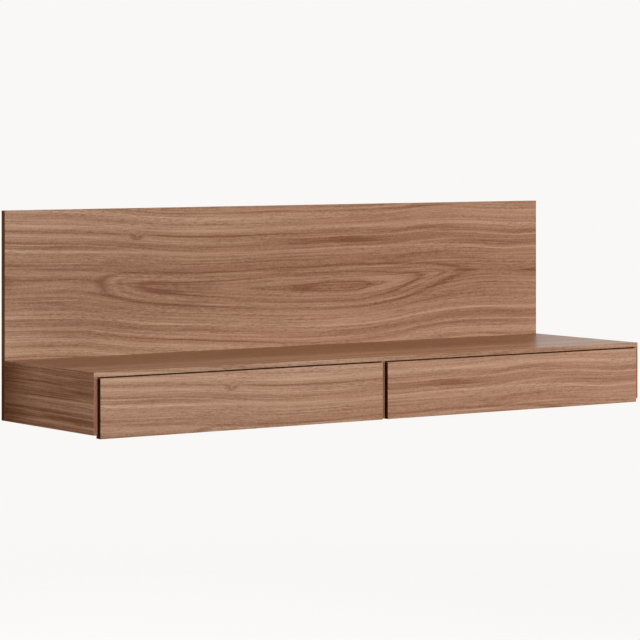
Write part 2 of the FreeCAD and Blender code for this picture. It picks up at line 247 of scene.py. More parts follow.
# %% Helpers that draw grain
def speckle(tree, along, across, along_scale, across_scale, seed, detail=2.0, roughness=0.5):
    """Noise that is drawn out along the grain: each scale is in marks per metre."""
    spot = put(tree, "ShaderNodeCombineXYZ", {
        0: sums(tree, "MULTIPLY", along, along_scale),
        1: sums(tree, "MULTIPLY", across, across_scale),
        2: seed,
    }).outputs[0]
    inputs = {"Vector": spot, "Scale": 1.0, "Detail": detail, "Roughness": roughness}
    return put(tree, "ShaderNodeTexNoise", inputs).outputs[0]


def swing(tree, along, across, **marks):
    """The same noise, swinging about zero."""
    return sums(tree, "SUBTRACT", speckle(tree, along, across, **marks), 0.5)


def curve_along(tree, along, points, low, rise):
    """A value that follows given points along the leaf."""
    share = sums(tree, "DIVIDE", sums(tree, "SUBTRACT", along, LEAF_START), LEAF_LENGTH)
    made = put(tree, "ShaderNodeFloatCurve", {"Value": share})
    line = made.mapping.curves[0]
    made.mapping.extend = "HORIZONTAL"
    while len(line.points) < len(points):
        line.points.new(0.5, 0.5)
    for point, (place, value) in zip(line.points, points):
        point.location = ((place - LEAF_START) / LEAF_LENGTH, (value - low) / rise)
    made.mapping.update()
    return added(tree, low, made.outputs[0], rise)

# %% Start the walnut leaf
LEAF_START, LEAF_LENGTH = -0.75, 1.5
DRIFT, DRIFT_REACH = dict(along_scale=2.4, across_scale=7.0, seed=3.1), 0.008
RIPPLE, RIPPLE_REACH = dict(along_scale=11.0, across_scale=45.0, seed=7.7), 0.0030
HEART_LOW, HEART_RISE = 0.120, 0.080
HEART_HEIGHTS = [
    (-0.75, 0.184), (-0.61, 0.181), (-0.50, 0.179), (-0.43, 0.172), (-0.31, 0.159), (-0.20, 0.153),
    (-0.07, 0.149), (0.14, 0.1465), (0.26, 0.153), (0.34, 0.163), (0.47, 0.171), (0.60, 0.167),
    (0.75, 0.164)]
DEEPEST = 6.0
HEART_DEPTHS = [
    (-0.75, 3.75), (-0.65, 3.85), (-0.60, 4.1), (-0.53, 4.3), (-0.475, 4.15), (-0.4375, 3.75),
    (-0.4125, 3.36), (-0.375, 2.8), (-0.32, 2.35), (-0.20, 2.0), (-0.07, 1.35), (0.05, 0.75), (0.14, 0.2),
    (0.21, 0.9), (0.34, 2.45), (0.47, 3.75), (0.55, 4.15), (0.64, 3.8), (0.75, 3.4)]

leaf = bpy.data.node_groups.new("walnut_leaf", "ShaderNodeTree")
for socket in ("Along", "Across", "Contrast"):
    leaf.interface.new_socket(socket, in_out="INPUT", socket_type="NodeSocketFloat")
for socket, kind in (("Color", "Color"), ("Roughness", "Float"), ("Height", "Float")):
    leaf.interface.new_socket(socket, in_out="OUTPUT", socket_type="NodeSocket" + kind)
entry = leaf.nodes.new("NodeGroupInput").outputs
along, across = entry["Along"], entry["Across"]
wandered = added(leaf, across, swing(leaf, along, across, **DRIFT), DRIFT_REACH)
wandered = added(leaf, wandered, swing(leaf, along, across, **RIPPLE), RIPPLE_REACH)
heart_height = curve_along(leaf, along, HEART_HEIGHTS, HEART_LOW, HEART_RISE)
heart_depth = curve_along(leaf, along, HEART_DEPTHS, 0.0, DEEPEST)
print("walnut leaf: heart line set at", len(HEART_HEIGHTS), "places, depth at", len(HEART_DEPTHS))

# %% [markdown]
# ### Yearly layers
#
# In a round log a layer is the root of two squares, of the height off the heart and of the depth, and
# every arch is round. A lower power points them, as on the right of this panel. On the left the layers
# near the heart are squeezed, which makes a slim oval, and below the heart the depth counts for less
# and less. Each span below gives two places and then the values there.

# %% Count the layers
LAYER_WIDTH = 0.012
SQUEEZE_REACH = 3.0
SQUEEZE = (-0.30, 0.05, 0.24, 0.0)
DEPTH_REACH = (-7.5, -0.3, 0.12, 1.0)
ARCH_POWER = (-0.3, 0.4, 2.0, 1.38)

off = sums(leaf, "DIVIDE", sums(leaf, "SUBTRACT", wandered, heart_height), LAYER_WIDTH)
near = ranged(leaf, off, -SQUEEZE_REACH, SQUEEZE_REACH, -SQUEEZE_REACH, SQUEEZE_REACH)
off = added(leaf, off, near, ranged(leaf, along, *SQUEEZE))
away = sums(leaf, "ABSOLUTE", off)
power = ranged(leaf, along, *ARCH_POWER)
depth_counted = sums(leaf, "MULTIPLY", heart_depth, ranged(leaf, off, *DEPTH_REACH))
layer = sums(leaf, "ADD", sums(leaf, "POWER", away, power), sums(leaf, "POWER", depth_counted, power))
layer = sums(leaf, "POWER", layer, sums(leaf, "DIVIDE", 1.0, power))
print("a yearly layer is", LAYER_WIDTH, "m wide on the leaf")

# %% [markdown]
# ### Tones of the layers
#
# Good and lean years give walnut its light and dark streaks. A list of tones makes the streaks
# that stand out on the panel, from the heart outwards, and noise along the layers adds the fine ones
# between them. Noise alone would give streaks too, but not in the right places. A pin knot bends the
# layers round it, a dark seam runs along the heart where it lies deep, and the leaf grows paler below
# its heart, towards the sapwood. Dark flames and wide clouds, darker or paler, sit where the boards
# have them.

# %% Streaks, knot and seam
LAYER_COUNT = 16.0
LAYER_TONES = [
    (0.62, 0.42), (0.90, 0.20), (1.15, 0.46), (1.6, 0.58), (2.3, 0.47), (2.5, 0.18), (2.7, 0.45),
    (2.95, 0.58), (3.15, 0.34), (3.32, 0.58), (3.5, 0.46), (3.75, 0.14), (4.0, 0.42), (4.4, 0.48),
    (4.8, 0.35), (5.3, 0.42), (6.4, 0.52), (6.6, 0.80), (6.85, 0.48), (7.6, 0.28), (8.5, 0.46),
    (8.65, 0.74), (8.85, 0.46), (9.3, 0.30), (9.8, 0.55), (10.2, 0.74), (11.3, 0.48), (12.3, 0.72),
    (12.8, 0.56), (13.0, 0.34), (13.3, 0.55), (14.4, 0.47)]
KNOT_PLACE, KNOT_SIZE = (-0.356, 0.2565), (0.022, 0.011)
KNOT_RINGS, KNOT_DARK = 1.4, 0.46
SEAM_WIDTH, SEAM_DEPTHS, SEAM_DARK = 0.45, (3.5, 4.0), 0.22


def ramp(tree, value, stops):
    """A colour ramp from a list of (place, colour)."""
    made = put(tree, "ShaderNodeValToRGB", {0: value})
    points = made.color_ramp.elements
    while len(points) < len(stops):
        points.new(0.5)
    for point, (place, colour) in zip(points, stops):
        point.position = place
        point.color = (*colour, 1.0)
    return made.outputs[0]


def patch(tree, along, across, place, size):
    """A soft oval patch, 1 in its middle and 0 at its rim."""
    spot = put(tree, "ShaderNodeCombineXYZ", {
        0: sums(tree, "DIVIDE", sums(tree, "SUBTRACT", along, place[0]), size[0]),
        1: sums(tree, "DIVIDE", sums(tree, "SUBTRACT", across, place[1]), size[1]),
    }).outputs[0]
    return put(tree, "ShaderNodeTexGradient", {0: spot}, gradient_type="QUADRATIC_SPHERE").outputs[1]


knot = patch(leaf, along, wandered, KNOT_PLACE, KNOT_SIZE)
ringed = added(leaf, layer, knot, KNOT_RINGS)
greys = [(place / LAYER_COUNT, (tone, tone, tone)) for place, tone in LAYER_TONES]
streak = ramp(leaf, sums(leaf, "DIVIDE", ringed, LAYER_COUNT), greys)
tone = added(leaf, streak, knot, -KNOT_DARK)
on_heart = ranged(leaf, away, 0.0, SEAM_WIDTH, 1.0, 0.0)
seam = sums(leaf, "MULTIPLY", on_heart, ranged(leaf, heart_depth, *SEAM_DEPTHS))
tone = added(leaf, tone, seam, -SEAM_DARK)
print("tones for", len(LAYER_TONES), "layers")

# %% Fine streaks, flames and clouds
FINE = dict(along_scale=3.6, across_scale=2.2, seed=1.3, detail=4.0, roughness=0.75)
FINE_STRENGTH = 1.65
HAZE, HAZE_STRENGTH = dict(along_scale=2.1, across_scale=11.0, seed=5.9, detail=3.0), 0.25
FIBRE, FIBRE_STRENGTH = dict(along_scale=16.0, across_scale=900.0, seed=9.2), 0.55
MOTTLE, MOTTLE_STRENGTH = dict(along_scale=240.0, across_scale=380.0, seed=6.3, detail=1.0), 0.50
SAPWARD = (-5.0, -1.5, 0.085, -0.045)
FLAMES = [
    ((0.165, 0.241), (0.115, 0.014), 0.31), ((0.040, 0.2415), (0.160, 0.013), 0.18),
    ((-0.290, 0.149), (0.060, 0.009), 0.34), ((-0.230, 0.126), (0.100, 0.008), 0.26),
    ((0.010, 0.184), (0.120, 0.011), 0.22), ((0.330, 0.163), (0.030, 0.008), 0.24),
    ((0.440, 0.172), (0.050, 0.006), 0.22), ((0.620, 0.166), (0.040, 0.008), 0.20)]
CLOUDS = [
    ((-0.50, 0.085), (0.38, 0.12), 0.19), ((0.10, 0.075), (0.30, 0.085), -0.13),
    ((1.83, 0.26), (0.16, 0.12), -0.12), ((0.52, 0.275), (0.28, 0.08), -0.11),
    ((0.10, 0.198), (0.45, 0.03), 0.09)]

# The fine streaks flow halfway between the layers and straight lines along the heart.
flow = sums(leaf, "MULTIPLY", sums(leaf, "ADD", ringed, away), 0.5)
tone = added(leaf, tone, swing(leaf, flow, along, **FINE), FINE_STRENGTH)
tone = added(leaf, tone, swing(leaf, along, across, **HAZE), HAZE_STRENGTH)
fibre = swing(leaf, along, wandered, **FIBRE)
tone = added(leaf, tone, fibre, FIBRE_STRENGTH)
tone = added(leaf, tone, swing(leaf, along, wandered, **MOTTLE), MOTTLE_STRENGTH)
tone = sums(leaf, "ADD", tone, ranged(leaf, off, *SAPWARD))
for place, size, darker in FLAMES + CLOUDS:
    tone = added(leaf, tone, patch(leaf, along, wandered, place, size), -darker)
print("flames:", len(FLAMES), "- clouds:", len(CLOUDS))

# %% [markdown]
# ### Colour and pores
#
# Walnut runs from a dark red-brown to a pale tan, a little more olive at one end of this leaf and pinker
# at the other. Its open pores show as short dark dashes along the grain, denser in some bands than in
# others. The lacquer is thin, so the pores stay as tiny grooves: they darken the colour, roughen the
# gloss and dent the surface a little. Real grooves would take millions of faces, so a bump stands for
# them.

# %% Colour, pores and lacquer
WALNUT_DARK, WALNUT_MID, WALNUT_PALE = (0.176, 0.070, 0.034), (0.311, 0.167, 0.100), (0.452, 0.276, 0.184)
MID_TONE = 0.47
OLIVE_CAST, PINK_CAST, CAST_SPAN = (0.985, 1.012, 1.02, 1.0), (1.006, 0.992, 0.988, 1.0), (-0.6, 0.5)
PORES, PORE_CUT = dict(along_scale=70.0, across_scale=700.0, seed=2.2, detail=1.0), (0.53, 0.64)
BANDS, BAND_CUT = dict(along_scale=6.0, across_scale=60.0, seed=4.4), (0.38, 0.62, 0.15, 1.0)
PORE_COLOUR, PORE_DARK = (0.085, 0.036, 0.020, 1.0), 0.40
LACQUER_ROUGHNESS, PORE_DULL, FIBRE_DULL = 0.30, 0.08, 0.10
FIBRE_HEIGHT = 0.4


def tinted(tree, amount, first, second, how="MIX"):
    """A colour between two, by an amount from 0 to 1."""
    inputs = {0: amount, 6: first, 7: second}
    return put(tree, "ShaderNodeMix", inputs, data_type="RGBA", blend_type=how).outputs[2]


contrasted = added(leaf, MID_TONE, sums(leaf, "SUBTRACT", tone, MID_TONE), entry["Contrast"])
wood = ramp(leaf, contrasted, [(0.0, WALNUT_DARK), (MID_TONE, WALNUT_MID), (1.0, WALNUT_PALE)])
cast = tinted(leaf, ranged(leaf, along, *CAST_SPAN), OLIVE_CAST, PINK_CAST)
wood = tinted(leaf, 1.0, wood, cast, "MULTIPLY")
dashes = ranged(leaf, speckle(leaf, along, wandered, **PORES), *PORE_CUT)
bands = ranged(leaf, speckle(leaf, along, wandered, **BANDS), *BAND_CUT)
pores = sums(leaf, "MULTIPLY", dashes, bands)
pored = tinted(leaf, sums(leaf, "MULTIPLY", pores, PORE_DARK), wood, PORE_COLOUR)
gloss = added(leaf, added(leaf, LACQUER_ROUGHNESS, pores, PORE_DULL), fibre, FIBRE_DULL)
relief = sums(leaf, "SUBTRACT", sums(leaf, "MULTIPLY", fibre, FIBRE_HEIGHT), pores)
put(leaf, "NodeGroupOutput", {"Color": pored, "Roughness": gloss, "Height": relief})
print("walnut leaf has", len(leaf.nodes), "nodes")

# %% [markdown]
# ## Veneer on the boards
#
# Each face of a board has a leaf of its own, cut with the grain along the face's longer way, and thin
# strips of it cover the edges. The node tree looks at which way a face points and takes the leaf's two
# directions from the matching pair of coordinates. A UV map on each board could do that too, but Object
# coordinates need no unwrapping and keep the wood at its real size. Every face can have a stain.

# %% Helpers that make a finish
SQUARE_ON = 0.75


def new_finish(name):
    """A material with an empty tree, its shader and its output."""
    finish = bpy.data.materials.new(name)
    tree = emptied(finish)
    shader = put(tree, "ShaderNodeBsdfPrincipled")
    put(tree, "ShaderNodeOutputMaterial", {"Surface": shader.outputs[0]})
    return finish, tree, shader


def surfaced(tree, shader, colour, gloss, height, dent, depth):
    """Give the shader its colour and roughness, and dent it by a height of so many metres."""
    tree.links.new(colour, shader.inputs["Base Color"])
    tree.links.new(gloss, shader.inputs["Roughness"])
    bump = put(tree, "ShaderNodeBump", {"Height": height, "Strength": dent, "Distance": depth})
    tree.links.new(bump.outputs[0], shader.inputs["Normal"])


def axes(tree, kind="Object"):
    """X, Y and Z of a point on the piece, or of the way that its face looks."""
    spot = put(tree, "ShaderNodeTexCoord").outputs[kind]
    return put(tree, "ShaderNodeSeparateXYZ", {0: spot}).outputs


def pointing(tree, axis):
    """1 on the faces that look along an axis, 0 on the others."""
    return sums(tree, "GREATER_THAN", sums(tree, "ABSOLUTE", axes(tree, "Normal")[axis]), SQUARE_ON)


def dress(finish, *names):
    """Give a finish to CAD nodes by filling their material slots."""
    for name in names:
        mesh = nodes[name].data
        if not mesh.materials:
            mesh.materials.append(finish)
        for place in range(len(mesh.materials)):
            mesh.materials[place] = finish

# %% Lay the leaf on faces
NATURAL = (1.0, 1.0, 1.0, 1.0)


def blended(tree, amount, first, second):
    """A number between two, by an amount from 0 to 1."""
    return put(tree, "ShaderNodeMix", {0: amount, 2: first, 3: second}, data_type="FLOAT").outputs[0]


def face(looks, grain, cross, cut_at, stain=NATURAL):
    """How the leaf lies on one face: the axes it looks and runs along, its place on the leaf, its stain."""
    return {"looks": looks, "grain": grain, "cross": cross, "cut_at": cut_at, "stain": stain}


def painted_shading(looks, way, start, end, tone):
    """Painted shade or sheen: a tone that comes in along a way, on the faces that look along an axis."""
    return {"looks": looks, "way": way, "span": (start, end), "tone": tone}


def grain_directions(tree, faces, fineness):
    """Along, across and stain, chosen by the way that each face looks."""
    place = axes(tree)
    along = across = stain = None
    for one in faces:
        here = added(tree, one["cut_at"][0], place[one["grain"]], fineness)
        there = added(tree, one["cut_at"][1], place[one["cross"]], fineness)
        if along is None:
            along, across, stain = here, there, one["stain"]
            continue
        this_way = pointing(tree, one["looks"])
        along = blended(tree, this_way, along, here)
        across = blended(tree, this_way, across, there)
        stain = tinted(tree, this_way, stain, one["stain"])
    return along, across, stain

# %% Veneer a board
LACQUER_IOR = 1.15
PORE_DENT, PORE_DEPTH = 0.5, 0.00012
SANDED_ONLY = 0.5


def veneer(name, faces, fineness=1.0, contrast=1.0, painted_shadings=(), sheen=0.5, sanded="X"):
    """Walnut veneer for one board; fineness narrows the streaks, and sanded ends have no lacquer."""
    finish, tree, shader = new_finish(name)
    shader.inputs["IOR"].default_value = LACQUER_IOR
    shader.inputs["Specular IOR Level"].default_value = sheen
    along, across, stain = grain_directions(tree, faces, fineness)
    inputs = {"Along": along, "Across": across, "Contrast": contrast}
    cut = put(tree, "ShaderNodeGroup", inputs, node_tree=leaf)
    colour = tinted(tree, 1.0, cut.outputs["Color"], stain, "MULTIPLY")
    # Painted shade and sheen: each of these tones comes in along its way over the leaf's colour.
    for one in painted_shadings:
        coming = ranged(tree, axes(tree)[one["way"]], *one["span"])
        amount = sums(tree, "MULTIPLY", pointing(tree, one["looks"]), coming)
        colour = tinted(tree, amount, colour, one["tone"], "MULTIPLY")
    gloss = cut.outputs["Roughness"]
    if sanded:
        gloss = added(tree, gloss, pointing(tree, sanded), SANDED_ONLY)
    surfaced(tree, shader, colour, gloss, cut.outputs["Height"], PORE_DENT, PORE_DEPTH)
    return finish

# %% [markdown]
# ### Board by board
#
# The back panel and the fronts are cut from places on the leaf that line up, as they do on a set from
# one flitch, and the uprights have a finer cut. Ends of the panel are stained dark. Ends of the fronts
# are darker still: end grain, with painted shade for the narrow reveal beside each front. The front
# edges of the left side and the divider have a stain of their own, and the right side's front edge is
# painted lighter, a painted light that takes out the shadow of the proud front beside it. The tops and
# bottoms of the fronts are tinted warmer, painted bounce light for the slit under the shelf. In the
# picture the uprights deepen towards the wall, the panel's ends towards the foot, and the shelf is
# redder at the rear, all more than soft light gives. More lamps could be tried for that. A painted
# shade that comes in along the face is simpler, and on the shelf's top the redder rear is a painted
# sheen, which leaves the front looking milkier.

# %% Veneer the panel and the fronts
PANEL_ENDS = (0.41, 0.28, 0.165, 1.0)
# Painted shade: the panel's ends darken towards the foot, beside the sides.
FOOT_PAINTED_SHADE = painted_shading("X", "Z", 0.05, 0.0, (0.55, 0.42, 0.42, 1.0))
# Painted bounce light: the fronts' top and bottom faces are tinted warmer and brighter, for the warm slit
# under the shelf.
FRONT_FACES, FRONT_TOPS_PAINTED_BOUNCE = (1.06, 1.103, 1.165, 1.0), (1.16, 1.0, 0.84, 1.0)
# Darker end grain on the fronts' ends, deepened with painted shade for the narrow reveal beside each front.
FRONT_END_GRAIN_AND_SHADE = (0.145, 0.08, 0.05, 1.0)

panel_veneer = veneer("walnut_back_panel", [
    face("Y", "X", "Z", (0.0, 0.0)),
    face("Z", "X", "Y", (0.1, 0.30)),
    face("X", "Z", "Y", (1.2, 0.30), PANEL_ENDS),
], contrast=1.06, painted_shadings=[FOOT_PAINTED_SHADE], sheen=0.4)
front_veneer = veneer("walnut_fronts", [
    face("Y", "X", "Z", (0.0, 0.270), FRONT_FACES),
    face("Z", "X", "Y", (0.2, 0.60), FRONT_TOPS_PAINTED_BOUNCE),
    face("X", "Z", "Y", (1.3, 0.60), FRONT_END_GRAIN_AND_SHADE),
], contrast=0.88)
dress(panel_veneer, "back_panel")
dress(front_veneer, "left_drawer_front", "right_drawer_front")
print("panel veneer has", len(panel_veneer.node_tree.nodes), "nodes beside the leaf")

# %% Veneer the shelf, the uprights and the bottoms
SHELF_FACES, SHELF_EDGES = (1.02, 0.93, 0.81, 1.0), (0.92, 0.95, 0.96, 1.0)
SIDE_FACES = (1.137, 1.086, 1.032, 1.0)
# Painted light: the right side's front edge is lightened, to take out the shadow the proud right front
# throws on it.
LEFT_EDGES, RIGHT_EDGES_PAINTED_LIGHT = (0.68, 0.60, 0.61, 1.0), (1.12, 1.20, 1.26, 1.0)
# Painted shade: the uprights and the shelf's ends darken towards the wall.
WALL_PAINTED_SHADE = painted_shading("X", "Y", -0.15, 0.02, (0.43, 0.27, 0.15, 1.0))
# Painted sheen: the rear of the shelf's top is made redder, so that its front looks milkier, as soft light
# leaves it.
SHELF_PAINTED_SHEEN = painted_shading("Z", "Y", -0.26, -0.12, (1.12, 1.03, 0.90, 1.0))

shelf_veneer = veneer("walnut_shelf", [
    face("Z", "X", "Y", (1.5, 0.53), SHELF_FACES),
    face("Y", "X", "Z", (0.0, 0.26), SHELF_EDGES),
    face("X", "Y", "Z", (1.2, 0.3), SIDE_FACES),
], contrast=1.45, painted_shadings=[WALL_PAINTED_SHADE, SHELF_PAINTED_SHEEN], sheen=0.6)
dress(shelf_veneer, "top_shelf")
for name, edges, boards in (
    ("walnut_sides", LEFT_EDGES, ("left_side", "center_divider")),
    ("walnut_right_side", RIGHT_EDGES_PAINTED_LIGHT, ("right_side",)),
):
    side_veneer = veneer(name, [
        face("X", "Y", "Z", (1.3, 0.35), SIDE_FACES),
        face("Y", "Z", "X", (1.2, 0.9), edges),
        face("Z", "Y", "X", (1.2, 0.9), SIDE_FACES),
    ], fineness=1.8, contrast=1.55, painted_shadings=[WALL_PAINTED_SHADE], sheen=0.05, sanded=None)
    dress(side_veneer, *boards)
under_veneer = veneer("walnut_bottoms", [
    face("Z", "X", "Y", (1.4, 0.45)),
    face("Y", "X", "Z", (1.3, 0.3)),
    face("X", "Y", "Z", (1.3, 0.3)),
])
dress(under_veneer, "left_bottom_panel", "right_bottom_panel")
print("veneered boards:", sum(n.data.materials[0].name.startswith("walnut") for n in nodes.values()))

# %% [markdown]
# ## Maple drawer boxes
#
# The drawer boxes are solid maple, dovetailed at the corners. Maple is pale and even, with faint streaks
# and tiny flecks, and its end grain drinks more lacquer and goes darker. That is what makes a dovetail
# readable: long grain of one board beside end grain of the other. A material could be split by hand
# over the faces; here the tree compares each face's direction with the board's grain instead, so one
# recipe serves boards that run either way.

# %% Solid timber
STREAKS, STREAKS_DEEP = dict(along_scale=1.6, across_scale=60.0, detail=5.0, roughness=0.6), 60.0
FIBRES, FIBRES_DEEP, FIBRES_STRENGTH = dict(along_scale=22.0, across_scale=1100.0), 900.0, 0.35
FLECKS = dict(along_scale=170.0, across_scale=900.0, detail=1.0)
FLECK_CUT, FLECK_DARK = (0.60, 0.72), 0.18
PRICKS, PRICK_DARK = dict(along_scale=1500.0, across_scale=1500.0, detail=1.0), 0.35
TONE_SPAN = (0.22, 0.72)
OIL_ROUGHNESS, FIBRES_DULL, END_DULL = 0.36, 0.16, 0.18
FIBRE_DENT, FIBRE_DEPTH = 0.4, 0.00006


def timber(name, tones, end_tone, grain, cross, seed):
    """Solid wood with its grain along one axis and darker end grain."""
    finish, tree, shader = new_finish(name)
    place = axes(tree)
    along, first, second = place[grain], place[cross[0]], place[cross[1]]
    streaks = speckle(tree, along, first, seed=added(tree, seed, second, STREAKS_DEEP), **STREAKS)
    thin = added(tree, seed, second, FIBRES_DEEP)
    fibres = speckle(tree, along, first, seed=thin, **FIBRES)
    flecks = ranged(tree, speckle(tree, along, first, seed=thin, **FLECKS), *FLECK_CUT)
    tone = added(tree, streaks, sums(tree, "SUBTRACT", fibres, 0.5), FIBRES_STRENGTH)
    tone = added(tree, tone, flecks, -FLECK_DARK)
    wood = ramp(tree, tone, list(zip(TONE_SPAN, tones)))
    ends = pointing(tree, grain)
    pricks = speckle(tree, first, second, seed=seed, **PRICKS)
    sawn = tinted(tree, sums(tree, "MULTIPLY", pricks, PRICK_DARK), wood, (*tones[0], 1.0))
    sawn = tinted(tree, 1.0, sawn, end_tone, "MULTIPLY")
    gloss = added(tree, added(tree, OIL_ROUGHNESS, fibres, FIBRES_DULL), ends, END_DULL)
    surfaced(tree, shader, tinted(tree, ends, wood, sawn), gloss, fibres, FIBRE_DENT, FIBRE_DEPTH)
    return finish

# %% Maple for the boxes
MAPLE, MAPLE_END = ((0.53, 0.345, 0.195), (0.70, 0.500, 0.310)), (0.66, 0.55, 0.44, 1.0)
BAYS = ("left", "right")
BOX_BOARDS = {
    "box_front": ("X", "ZY", 9.0), "box_back": ("X", "ZY", 8.0),
    "left_side": ("Y", "ZX", 9.0), "right_side": ("Y", "ZX", 10.0),
}
BAY_SEEDS = {"left": 0.0, "right": 3.7}

for bay in BAYS:
    for place, (grain, cross, seed) in BOX_BOARDS.items():
        board = bay + "_drawer_" + place
        dress(timber("maple_" + board, MAPLE, MAPLE_END, grain, cross, BAY_SEEDS[bay] + seed), board)
print("maple boards:", len(BOX_BOARDS) * len(BAYS))

# %% [markdown]
# ## Plywood drawer bottoms
#
# Thin birch plywood slides into grooves in the drawer box. Its outer plies are peeled from the log in
# one long sheet, which gives a wide, lazy figure, and its edges show the plies lying crosswise in turn.
# The tree counts plies by height for the edges and warps a stretched noise for the faces.

# %% Birch plywood
BIRCH_DARK, BIRCH_PALE = (0.550, 0.385, 0.235), (0.720, 0.545, 0.355)
LAZY, LAZY_REACH = dict(along_scale=3.0, across_scale=9.0, seed=2.7), 0.09
PEEL = dict(along_scale=1.1, across_scale=34.0, seed=6.1, detail=4.0, roughness=0.6)
PLY_FIBRES, PLY_STRENGTH = dict(along_scale=26.0, across_scale=900.0, seed=8.3), 0.4
PLY_SPAN = (0.25, 0.70)
PLY_THICK = 0.0012
PLY_BASE = 1.0  # plies are counted from a metre below, so that no count is negative
GLUE_SHARE, GLUE_COLOUR = 0.10, (0.16, 0.09, 0.05, 1.0)
PLY_ROUGHNESS, PLY_DULL = 0.38, 0.2

birch, tree, shader = new_finish("birch_ply")
place = axes(tree)
bent = added(tree, place["Y"], swing(tree, place["X"], place["Y"], **LAZY), LAZY_REACH)
fibres = speckle(tree, place["X"], place["Y"], **PLY_FIBRES)
tone = speckle(tree, place["X"], bent, **PEEL)
tone = added(tree, tone, sums(tree, "SUBTRACT", fibres, 0.5), PLY_STRENGTH)
face_colour = ramp(tree, tone, list(zip(PLY_SPAN, (BIRCH_DARK, BIRCH_PALE))))
plies = sums(tree, "DIVIDE", sums(tree, "ADD", place["Z"], PLY_BASE), PLY_THICK)
crosswise = sums(tree, "GREATER_THAN", sums(tree, "MODULO", plies, 2.0), 1.0)
glue = sums(tree, "LESS_THAN", sums(tree, "FRACT", plies), GLUE_SHARE)
edge_colour = tinted(tree, crosswise, (*BIRCH_PALE, 1.0), (*BIRCH_DARK, 1.0))
edge_colour = tinted(tree, glue, edge_colour, GLUE_COLOUR)
colour = tinted(tree, pointing(tree, "Z"), edge_colour, face_colour)
gloss = added(tree, PLY_ROUGHNESS, fibres, PLY_DULL)
surfaced(tree, shader, colour, gloss, fibres, FIBRE_DENT, FIBRE_DEPTH)
dress(birch, "left_drawer_bottom", "right_drawer_bottom")
under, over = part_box("left_drawer_bottom")
print("plies in a drawer bottom:", round((over[2] - under[2]) / PLY_THICK))

# %% [markdown]
# ## Steel, paint and rubber
#
# The runners are rolled from zinc-plated strip: bright, a little cloudy, with fine lines in the rolling
# direction. The balls are polished. The angles are powder-coated, and the coat has the skin of an orange.
# The buffers are moulded rubber with a dull, faintly grainy skin. Each is a noise at the size of the
# real mark, because a plain colour would look like plastic at any distance.

# %% Recipes for metal and for paint or rubber
STEEL_CLOUD = (90.0, 3.0)
STEEL_LINES, LINES_SHARE = dict(detail=3.0, roughness=0.6), 0.6
STEEL_DENT, STEEL_DEPTH = 0.25, 0.00002
SKIN_CLOUD = (40.0, 4.0)
SKIN_DETAIL, SKIN_DENT = 2.0, 0.6
NOISE_SPAN = (0.3, 0.7)


def even_noise(tree, marks_per_m, detail):
    """Noise that is the same in every direction."""
    spot = put(tree, "ShaderNodeTexCoord").outputs["Object"]
    inputs = {"Vector": spot, "Scale": marks_per_m, "Detail": detail}
    return put(tree, "ShaderNodeTexNoise", inputs).outputs[0]


def metal(name, tones, along_lines, cross_lines, gloss):
    """Plated or polished steel: two tones, marks per metre along Y and across it, a span of roughness."""
    finish, tree, shader = new_finish(name)
    shader.inputs["Metallic"].default_value = 1.0
    place = axes(tree)
    deep = sums(tree, "MULTIPLY", place["X"], cross_lines)
    marks = speckle(tree, place["Y"], place["Z"], along_lines, cross_lines, deep, **STEEL_LINES)
    tone = blended(tree, LINES_SHARE, even_noise(tree, *STEEL_CLOUD), marks)
    colour = ramp(tree, tone, list(zip(NOISE_SPAN, tones)))
    surfaced(tree, shader, colour, ranged(tree, tone, *NOISE_SPAN, *gloss), marks, STEEL_DENT, STEEL_DEPTH)
    return finish


def skin(name, tones, bumps_per_m, depth, gloss):
    """Paint or rubber: two close tones, an even bumpy skin and a span of roughness."""
    finish, tree, shader = new_finish(name)
    bumps = even_noise(tree, bumps_per_m, SKIN_DETAIL)
    colour = ramp(tree, even_noise(tree, *SKIN_CLOUD), list(zip(NOISE_SPAN, tones)))
    surfaced(tree, shader, colour, ranged(tree, bumps, *NOISE_SPAN, *gloss), bumps, SKIN_DENT, depth)
    return finish

# %% Dress the runners, angles and buffers
ZINC = ((0.50, 0.51, 0.53), (0.70, 0.71, 0.72))
CAGE_ZINC = ((0.42, 0.43, 0.43), (0.60, 0.60, 0.59))
BALL_STEEL = ((0.62, 0.62, 0.63), (0.74, 0.74, 0.75))
COAT_BLACK = ((0.022, 0.022, 0.023), (0.034, 0.034, 0.035))
RUBBER_BLACK = ((0.021, 0.021, 0.021), (0.033, 0.032, 0.031))

rail_finish = metal("zinc_strip", ZINC, along_lines=5.0, cross_lines=1400.0, gloss=(0.26, 0.42))
cage_finish = metal("cage_strip", CAGE_ZINC, along_lines=8.0, cross_lines=900.0, gloss=(0.30, 0.46))
ball_finish = metal("bearing_steel", BALL_STEEL, along_lines=300.0, cross_lines=300.0, gloss=(0.08, 0.16))
bracket_coat = skin("black_powder_coat", COAT_BLACK, bumps_per_m=1600.0, depth=0.00006, gloss=(0.42, 0.58))
rubber = skin("buffer_rubber", RUBBER_BLACK, bumps_per_m=2600.0, depth=0.00003, gloss=(0.66, 0.82))
for bay in BAYS:
    dress(rail_finish, bay + "_drawer_left_rail", bay + "_drawer_right_rail")
    dress(rail_finish, bay + "_bay_left_cabinet_rail", bay + "_bay_right_cabinet_rail")
    dress(cage_finish, bay + "_bay_left_ball_cage", bay + "_bay_right_ball_cage")
    dress(ball_finish, bay + "_bay_balls")
    dress(rubber, bay + "_bay_buffers")
dress(bracket_coat, "wall_brackets")
print("finishes so far:", len(bpy.data.materials))

# %% [markdown]
# ## Where the screws and dowels sit
#
# The CAD model already holds every screw and dowel as a plain turned solid. Its place, direction and
# length are read from there rather than typed again: each loose island of the node is one fastener, and
# the end where the island is widest is the head.

# %% Read the fasteners from the frame
WELD = 0.00001
SAME_WIDTH = 5 * WELD


